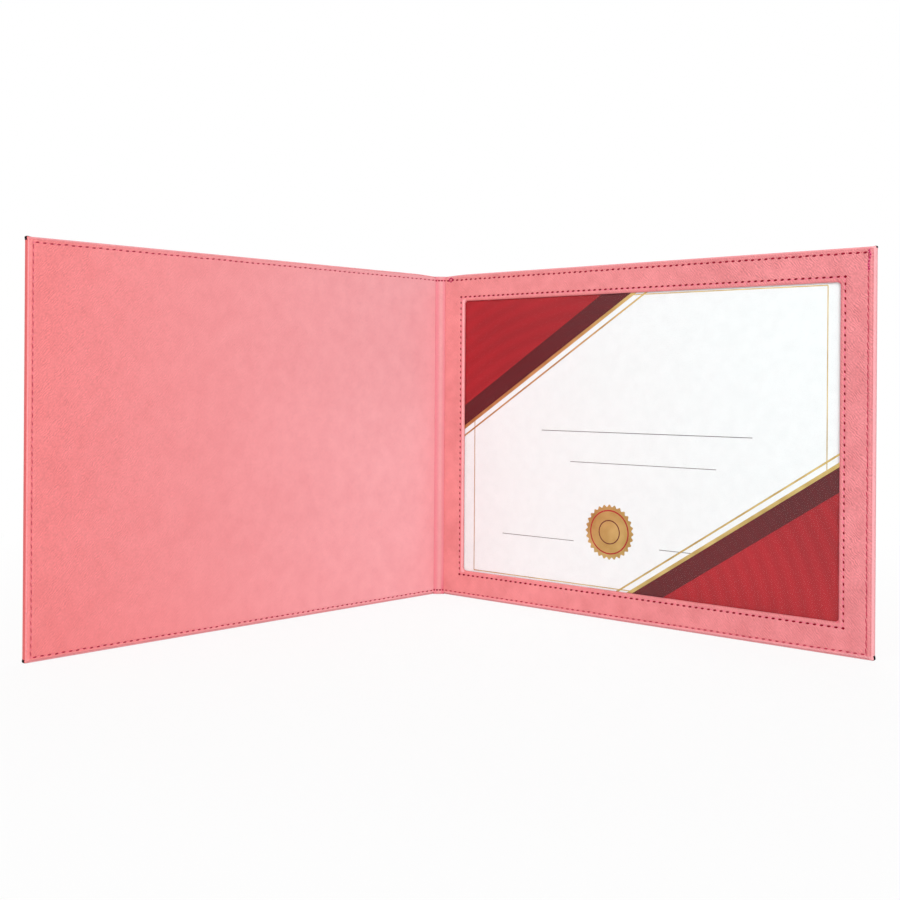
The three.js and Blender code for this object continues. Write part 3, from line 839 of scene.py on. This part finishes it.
def stitchTree(steps=threadSteps):
    tree = bpy.data.node_groups.new("seamStitches", "GeometryNodeTree")
    sockets = {}
    kinds = {"Seam": "Geometry", "Holes": "Int", "Start": "Vector", "Middle": "Vector", "End": "Vector",
             "Thread Radius": "Float", "Hole Size": "Vector", "Slant": "Float", "Sway": "Float",
             "Seed": "Int", "Thread": "Material", "Hole": "Material"}
    for name, kind in kinds.items():
        socket = tree.interface.new_socket(name, in_out="INPUT", socket_type="NodeSocket" + kind)
        sockets[name] = socket.identifier
    tree.interface.new_socket("Stitches", in_out="OUTPUT", socket_type="NodeSocketGeometry")
    given = add(tree, "NodeGroupInput").outputs

    def made(kind, inputs=None, family="Geometry", **settings):
        return add(tree, family + "Node" + kind, inputs, **settings).outputs[0]

    path = made("MeshToCurve", {"Mesh": given["Seam"]})
    holes = made("ResampleCurve", {"Curve": path, "Count": given["Holes"]}, mode="COUNT")
    tangent = made("InputTangent")
    out = made("InputNamedAttribute", {"Name": "out"}, data_type="FLOAT_VECTOR")
    lengthwise = made("AlignRotationToVector", {"Vector": tangent}, "Function", axis="X")
    upright = made("AlignRotationToVector", {"Rotation": lengthwise, "Vector": out}, "Function",
                   axis="Z", pivot_axis="X")
    least, most = (maths(way, given["Slant"], given["Sway"]) for way in ("SUBTRACT", "ADD"))
    chance = add(tree, "FunctionNodeRandomValue", {2: least, 3: most, "Seed": given["Seed"]},
                 data_type="FLOAT").outputs[1]
    angles = made("CombineXYZ", {"Z": chance}, "Shader")
    lean = made("EulerToRotation", {"Euler": angles}, "Function")
    turn = made("RotateRotation", {"Rotation": upright, "Rotate By": lean}, "Function",
                rotation_space="LOCAL")

    # thread bowed upwards, thinner where it dives; none starts at the last hole
    bow = made("CurveQuadraticBezier", {
        "Resolution": steps["bow"], "Start": given["Start"], "Middle": given["Middle"], "End": given["End"]})
    middle = maths("SUBTRACT", add(tree, "GeometryNodeSplineParameter").outputs["Factor"], 0.5)
    taper = maths("MULTIPLY_ADD", maths("MULTIPLY", middle, middle), threadTaper, 1.0)
    section = made("CurvePrimitiveCircle", {
        "Resolution": steps["round"], "Radius": given["Thread Radius"]})
    strand = made("CurveToMesh", {
        "Curve": bow, "Profile Curve": section, "Scale": taper, "Fill Caps": True})
    last = maths("SUBTRACT", given["Holes"], 1.5)
    before = maths("LESS_THAN", made("InputIndex"), last)
    # flattened mark on each hole: painted shade when its finish is dark, a painted highlight when it is pink
    hole = made("MeshUVSphere", {
        "Segments": steps["holeRound"], "Rings": steps["holeRings"], "Radius": 1.0})
    holeMark = made("Transform", {"Geometry": hole, "Scale": given["Hole Size"]})
    both = add(tree, "GeometryNodeJoinGeometry")
    for shape, finish, chosen in ((strand, "Thread", before), (holeMark, "Hole", True)):
        row = made("InstanceOnPoints", {
            "Points": holes, "Instance": shape, "Rotation": turn, "Selection": chosen})
        solid = made("RealizeInstances", {"Geometry": row})
        finished = made("SetMaterial", {"Geometry": solid, "Material": given[finish]})
        tree.links.new(finished, both.inputs[0])
    add(tree, "NodeGroupOutput", {"Stitches": both.outputs[0]})
    return tree, sockets


seamTree, seamSockets = stitchTree()


def sewn(points, out, look, stitches=None):
    # mesh of the stitches along a line of points on the skin
    points = np.asarray(points)
    seam = bpy.data.meshes.new("seamLine")
    seam.from_pydata(points.tolist(), [(i, i + 1) for i in range(len(points) - 1)], [])
    seam.attributes.new("out", "FLOAT_VECTOR", "POINT")
    seam.attributes["out"].data.foreach_set("vector", np.tile(np.array(out, np.float32), len(points)))
    piece = addPiece("seamLine", seam, [])
    length = float(np.linalg.norm(np.diff(points, axis=0), axis=1).sum())
    stitches = stitches or stitchCount(length)
    pitch = length / stitches
    thread, hole, holeSize, radius, (start, end), rise, slant = stitchLooks[look]
    sizes = {
        "Holes": stitches + 1, "Thread Radius": radius * mm, "Hole Size": [x * mm for x in holeSize],
        "Start": (start * pitch, 0, -threadSink), "End": (end * pitch, 0, -threadSink),
        "Middle": ((start + end) / 2 * pitch, 0, 2 * rise * mm), "Slant": math.radians(slant),
        "Sway": stitchSway, "Seed": stitchSeed, "Thread": thread, "Hole": hole,
    }
    sewing = piece.modifiers.new("stitches", "NODES")
    sewing.node_group = seamTree
    for key, value in sizes.items():
        sewing[seamSockets[key]] = value
    made = applied(piece).data
    bpy.data.objects.remove(piece)
    return made


def joinedStitches(name, meshes, body, *nodes):
    # one mesh for a body, with the threads' own materials kept
    finishes = [crimsonThread, roseThread, faintThread, magentaThread, pinkThread, holeShade]
    work = bmesh.new()
    for mesh in meshes:
        # a slot may be empty
        order = [finishes.index(material) if material else 0 for material in mesh.materials]
        for polygon in mesh.polygons:
            polygon.material_index = order[polygon.material_index]
        work.from_mesh(mesh)
    joined = bpy.data.meshes.new(name)
    work.to_mesh(joined)
    work.free()
    piece = softShaded(addPiece(name, joined, finishes), angle=60)
    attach(piece, body)
    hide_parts(*nodes)
    return piece


seamSunk = 0.12 * mm  # thread below the face it is drawn into


def seamAlong(place, side, face, sign, legs, looks):
    # stitches along the legs of a seam on one face of a panel
    meshes = []
    for ends, look in zip(legs, looks):
        u, v = np.array(ends).T
        meshes.append(sewn(place(u, v, face - sign * seamSunk), sign * inward[side], look))
    return meshes


tacks = {
    "diamond": [(4.9, 0.0), (7.1, 1.5), (9.3, 0.0), (7.1, -1.5), (4.9, 0.0)],  # back-tack beside the spine
    # overlap of the seam's start and end at the head's corner: sideways and down from the seam's corner
    "overlap": [(0.4, -1.6), (0.0, 0.0), (0.9, 0.6), (0.9, 2.3), (0.2, 4.2), (0.1, 6.0), (-0.4, 7.6),
                (0.5, 8.6), (-0.3, 10.2)],
}


def backTacks():
    # crossed stitches where the frame's perimeter seam starts, and a doubled run where it was finished
    height = panelHeight - seamInset
    meshes = []
    corners = [(x * mm, height + y * mm) for x, y in tacks["diamond"]]
    crossed = [(panelEnd - seamInset + x * mm, height - y * mm) for x, y in tacks["overlap"]]
    for points, look in ((corners, "tack"), (crossed, "overlap")):
        for ends in zip(points, points[1:]):
            u, v = np.array(ends).T
            meshes.append(sewn(onBack(u, v, frameFront), inward["back"], look, 1))
    return meshes


spineSeam = {"insideEnd": 0.3 * mm, "lift": 0.1 * mm, "points": 30, "outsideEnd": 0.6 * mm, "stitches": 3}


def makeStitches(size=spineSeam):
    plain = ["lining"] * 3
    back = seamAlong(onBack, "back", frameFront, 1, edgeSeam, ["lining", "drawn", "edge"])
    back += seamAlong(onBack, "back", 0.0, -1, edgeSeam, plain)
    back += seamAlong(onBack, "back", frameFront, 1, windowSeam, ["level", "window"] * 2) + backTacks()
    joinedStitches("backPanelStitches", back, "back_panel", "window_seam", "frame_edge_seam",
                   "back_edge_seam")
    front = seamAlong(onFront, "front", liningFront, 1, edgeSeam, ["lining", "fore", "lining"])
    front += seamAlong(onFront, "front", 0.0, -1, edgeSeam, plain)
    joinedStitches("frontPanelStitches", front, "front_panel", "lining_edge_seam", "front_edge_seam")
    inside, outside = [], []
    low, high = ridgeReach()
    for height in (seamInset, panelHeight - seamInset):
        s = np.linspace(low + size["insideEnd"], high - size["insideEnd"], size["points"])
        points = onSpine(s, height, ridgeDepth(s, height) + size["lift"])
        inside.append(sewn(points, inward["spine"], "spine", size["stitches"]))
        s = np.array([-spineWidth + size["outsideEnd"], -size["outsideEnd"]])
        outside.append(sewn(onSpine(s, height, seamSunk), -inward["spine"], "lining", size["stitches"]))
    spineIn = joinedStitches("spineStitchesInside", inside, "spine", "spine_head_seam", "spine_tail_seam")
    flattenWithFold(spineIn)
    joinedStitches("spineStitchesOutside", outside, "spine", "spine_head_back_seam", "spine_tail_back_seam")


makeStitches()
print("stitches sewn")


# Certificate: a plain form with crimson corner panels, gold rules and a blank foil seal
sheetLow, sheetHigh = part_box("certificate")
printLift = 0.02 * mm
form = {
    "corner": (158 * mm, 104 * mm),  # legs of a corner panel
    "stripe": 2.2 * mm,
    "stripeGap": 3.2 * mm,
    "edgeBand": 12 * mm,
    "borderInset": 14 * mm,
    "borderLine": 0.6 * mm,
    # grey rules: place from the sheet's middle, length and thickness, in mm
    "rules": ((6, 6, 150, 0.45), (6, -14, 104, 0.4), (-72, -66, 58, 0.4), (40, -66, 40, 0.4)),
    "seal": (-16 * mm, -58 * mm),
    "sealRadius": 17 * mm,
    "sealScallops": 28,
    # discs of the seal: layer, share of the radius, depth of the scallops, finish
    "discs": ((2, 1.0, 0.045, 3), (4, 0.84, 0, 1), (6, 0.79, 0, 3), (8, 0.46, 0, 2), (10, 0.42, 0, 3)),
}
sheetFinishes = [sheetPaper, crimsonInk, maroonInk, gold, greyInk]
crimson, maroon, golden, grey = 1, 2, 3, 4  # places in that list


def makeCertificate(size=form):
    middle, half = (sheetLow + sheetHigh) / 2, (sheetHigh - sheetLow) / 2
    (left, face, bottom), (right, rear, top) = sheetLow, sheetHigh
    outline = (left, bottom), (right, bottom), (right, top), (left, top)
    points = [(x, y, z) for y in (face, rear) for x, z in outline]
    faces = [(0, 1, 2, 3), (7, 6, 5, 4), (0, 4, 5, 1), (1, 5, 6, 2), (2, 6, 7, 3), (3, 7, 4, 0)]
    boxFaces = len(faces)
    shades = [0] * boxFaces

    def inked(shape, layer, shade):
        # flat shape printed on the sheet, in metres from its middle
        base = len(points)
        points.extend((middle.x + x, face - printLift * layer, middle.z + z) for x, z in shape)
        faces.append(tuple(range(base, len(points))))
        shades.append(shade)

    def bar(x, z, wide, high, layer, shade):
        corners = (-0.5, -0.5), (0.5, -0.5), (0.5, 0.5), (-0.5, 0.5)
        inked([(x + wide * a, z + high * b) for a, b in corners], layer, shade)

    legX, legZ = size["corner"]
    lean = math.hypot(legX, legZ)
    for turn in (1, -1):
        def cornerBand(near, far, layer, shade):
            # slanted band across a corner, between two distances from the panel's long edge
            a, b = 1 + near * lean / (legX * legZ), 1 + far * lean / (legX * legZ)
            shape = [(-half.x, half.z - a * legZ), (-half.x, half.z - b * legZ),
                     (-half.x + b * legX, half.z), (-half.x + a * legX, half.z)]
            inked([(turn * x, turn * z) for x, z in shape], layer, shade)

        triangle = [(-half.x, half.z), (-half.x, half.z - legZ), (-half.x + legX, half.z)]
        inked([(turn * x, turn * z) for x, z in triangle], 1, crimson)
        cornerBand(-size["edgeBand"], 0, 2, maroon)
        cornerBand(0, size["stripe"], 3, golden)
        cornerBand(size["stripe"] + size["stripeGap"], 1.5 * size["stripe"] + size["stripeGap"], 3, golden)
    inset = size["borderInset"]
    wide, high, line = 2 * (half.x - inset), 2 * (half.z - inset), size["borderLine"]
    for sign in (1, -1):
        bar(0, sign * high / 2, wide, line, 0.5, golden)
        bar(sign * wide / 2, 0, line, high, 0.5, golden)
    for rule in size["rules"]:
        bar(*(x * mm for x in rule), 1, grey)
    sealX, sealZ = size["seal"]
    turns = np.linspace(0, 2 * np.pi, 12 * size["sealScallops"], endpoint=False)
    for layer, share, wave, shade in size["discs"]:
        reach = size["sealRadius"] * (share + wave * np.cos(size["sealScallops"] * turns))
        inked(zip(sealX + reach * np.cos(turns), sealZ + reach * np.sin(turns)), layer, shade)

    mesh = bpy.data.meshes.new("printedCertificate")
    mesh.from_pydata(points, [], faces)
    mesh.polygons.foreach_set("material_index", shades)
    for polygon in mesh.polygons:
        if polygon.index >= boxFaces and polygon.normal.y > 0:
            polygon.flip()
    mesh.update()
    piece = addPiece("printedCertificate", mesh, sheetFinishes)
    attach(piece, "insert")
    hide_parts("certificate")


makeCertificate()
print("certificate printed")

# Finishes of the pieces that keep their solids
for node, finish in (("back_board", greyboard), ("front_board", greyboard), ("front_infill", card),
                     ("frame_core", card), ("pocket_liner", linerPaper), ("pocket_lip", spineSkin),
                     ("clear_sheet", film)):
    slots = frame["nodes"][node].data.materials
    slots.clear()
    slots.append(finish)


# Studio: a pale floor in an even white room, a large soft light at the right, a fill and one behind
studio = {
    "room": 0.5,
    "floorSize": 8.0,
    "floorShown": (0.88, 1.0),  # share of plain white that the camera sees, near the holder and away from it
    "floorReach": (0.2, 0.65),
    "aim": Vector((0.0, 0.1, panelHeight / 2)),  # of the lights
    "key": {"place": (2.0, -1.7, 1.4), "size": 1.2, "power": 44.0},
    "fill": {"place": (-0.3, -2.8, 1.2), "size": 1.6, "power": 19.0},
    "rear": {"place": (-1.2, 2.6, 1.3), "size": 1.6, "power": 22.0},
}


def seenDirectly(tree):
    # 1 for what the camera sees, also in a gloss or through the film
    rays = add(tree, "ShaderNodeLightPath").outputs
    seen = maths("MAXIMUM", rays["Is Camera Ray"], rays["Is Glossy Ray"])
    return maths("MAXIMUM", seen, rays["Is Transmission Ray"])


def makeStudio():
    world = bpy.data.worlds.new("whiteRoom")
    bpy.context.scene.world = world
    world.use_nodes = True
    tree = world.node_tree
    tree.nodes.clear()
    strength = add(tree, "ShaderNodeMix", {"Factor": seenDirectly(tree), "A": studio["room"], "B": 1.0})
    light = add(tree, "ShaderNodeBackground", {"Color": linear("#ffffff"), "Strength": strength.outputs[0]})
    add(tree, "ShaderNodeOutputWorld", {"Surface": light.outputs[0]})

    material, place = newMaterial("paleStudioFloor", Roughness=0.9, Base_Color=linear("#f6f6f6"))
    tree = material.node_tree
    away = add(tree, "ShaderNodeVectorMath", {0: place}, operation="LENGTH").outputs["Value"]
    fade = ranged(away, *studio["floorReach"], *studio["floorShown"])
    share = maths("MULTIPLY", seenDirectly(tree), fade)
    white = add(tree, "ShaderNodeEmission", {"Color": linear("#ffffff"), "Strength": 1.0})
    lit = tree.nodes["Principled BSDF"].outputs[0]
    shown = add(tree, "ShaderNodeMixShader", {0: share, 1: lit, 2: white.outputs[0]})
    tree.links.new(shown.outputs[0], tree.nodes["Material Output"].inputs["Surface"])
    half = studio["floorSize"] / 2
    floorMesh = bpy.data.meshes.new("studioFloor")
    corners = [(-half, -half, 0), (half, -half, 0), (half, half, 0), (-half, half, 0)]
    floorMesh.from_pydata(corners, [], [(0, 1, 2, 3)])
    floor = addPiece("studioFloor", floorMesh, [material])

    for name in ("key", "fill", "rear"):
        light = bpy.data.lights.new(name + "Light", "AREA")
        light.shape = "DISK"
        light.size = studio[name]["size"]
        light.energy = studio[name]["power"]
        lamp = bpy.data.objects.new(name + "Light", light)
        lamp.location = studio[name]["place"]
        lamp.rotation_euler = (studio["aim"] - lamp.location).to_track_quat("-Z", "Y").to_euler()
        bpy.context.scene.collection.objects.link(lamp)


makeStudio()

# Camera: level, at the height and distance that the photograph's vanishing lines give
view = {
    "focal": 1159.7,  # pixels, in a picture 900 pixels wide
    "horizon": 382.5,  # picture row of the eye level
    "axis": 435.2,  # picture column of the lens axis
    "picture": 900.0,
    "offset": (0.5271, -0.6483),  # plan position from the back crease line
    "height": 0.1518,
    "yaw": math.radians(39.68),
    "roll": math.radians(0.38),
}


def makeCamera():
    camera = bpy.data.cameras.new("photoCamera")
    camera.sensor_width = 36.0
    camera.lens = view["focal"] / view["picture"] * camera.sensor_width
    camera.shift_x = (view["picture"] / 2 - view["axis"]) / view["picture"]
    camera.shift_y = (view["horizon"] - view["picture"] / 2) / view["picture"]
    holder = bpy.data.objects.new("photoCamera", camera)
    holder.location = (backAxis.x + view["offset"][0], backAxis.y + view["offset"][1], view["height"])
    level = Matrix.Rotation(view["yaw"], 3, "Z") @ Matrix.Rotation(math.pi / 2, 3, "X")
    holder.rotation_euler = (level @ Matrix.Rotation(view["roll"], 3, "Z")).to_euler()
    bpy.context.scene.collection.objects.link(holder)
    bpy.context.scene.camera = holder


makeCamera()
bpy.context.scene.view_settings.view_transform = "Standard"
print("studio and camera set")
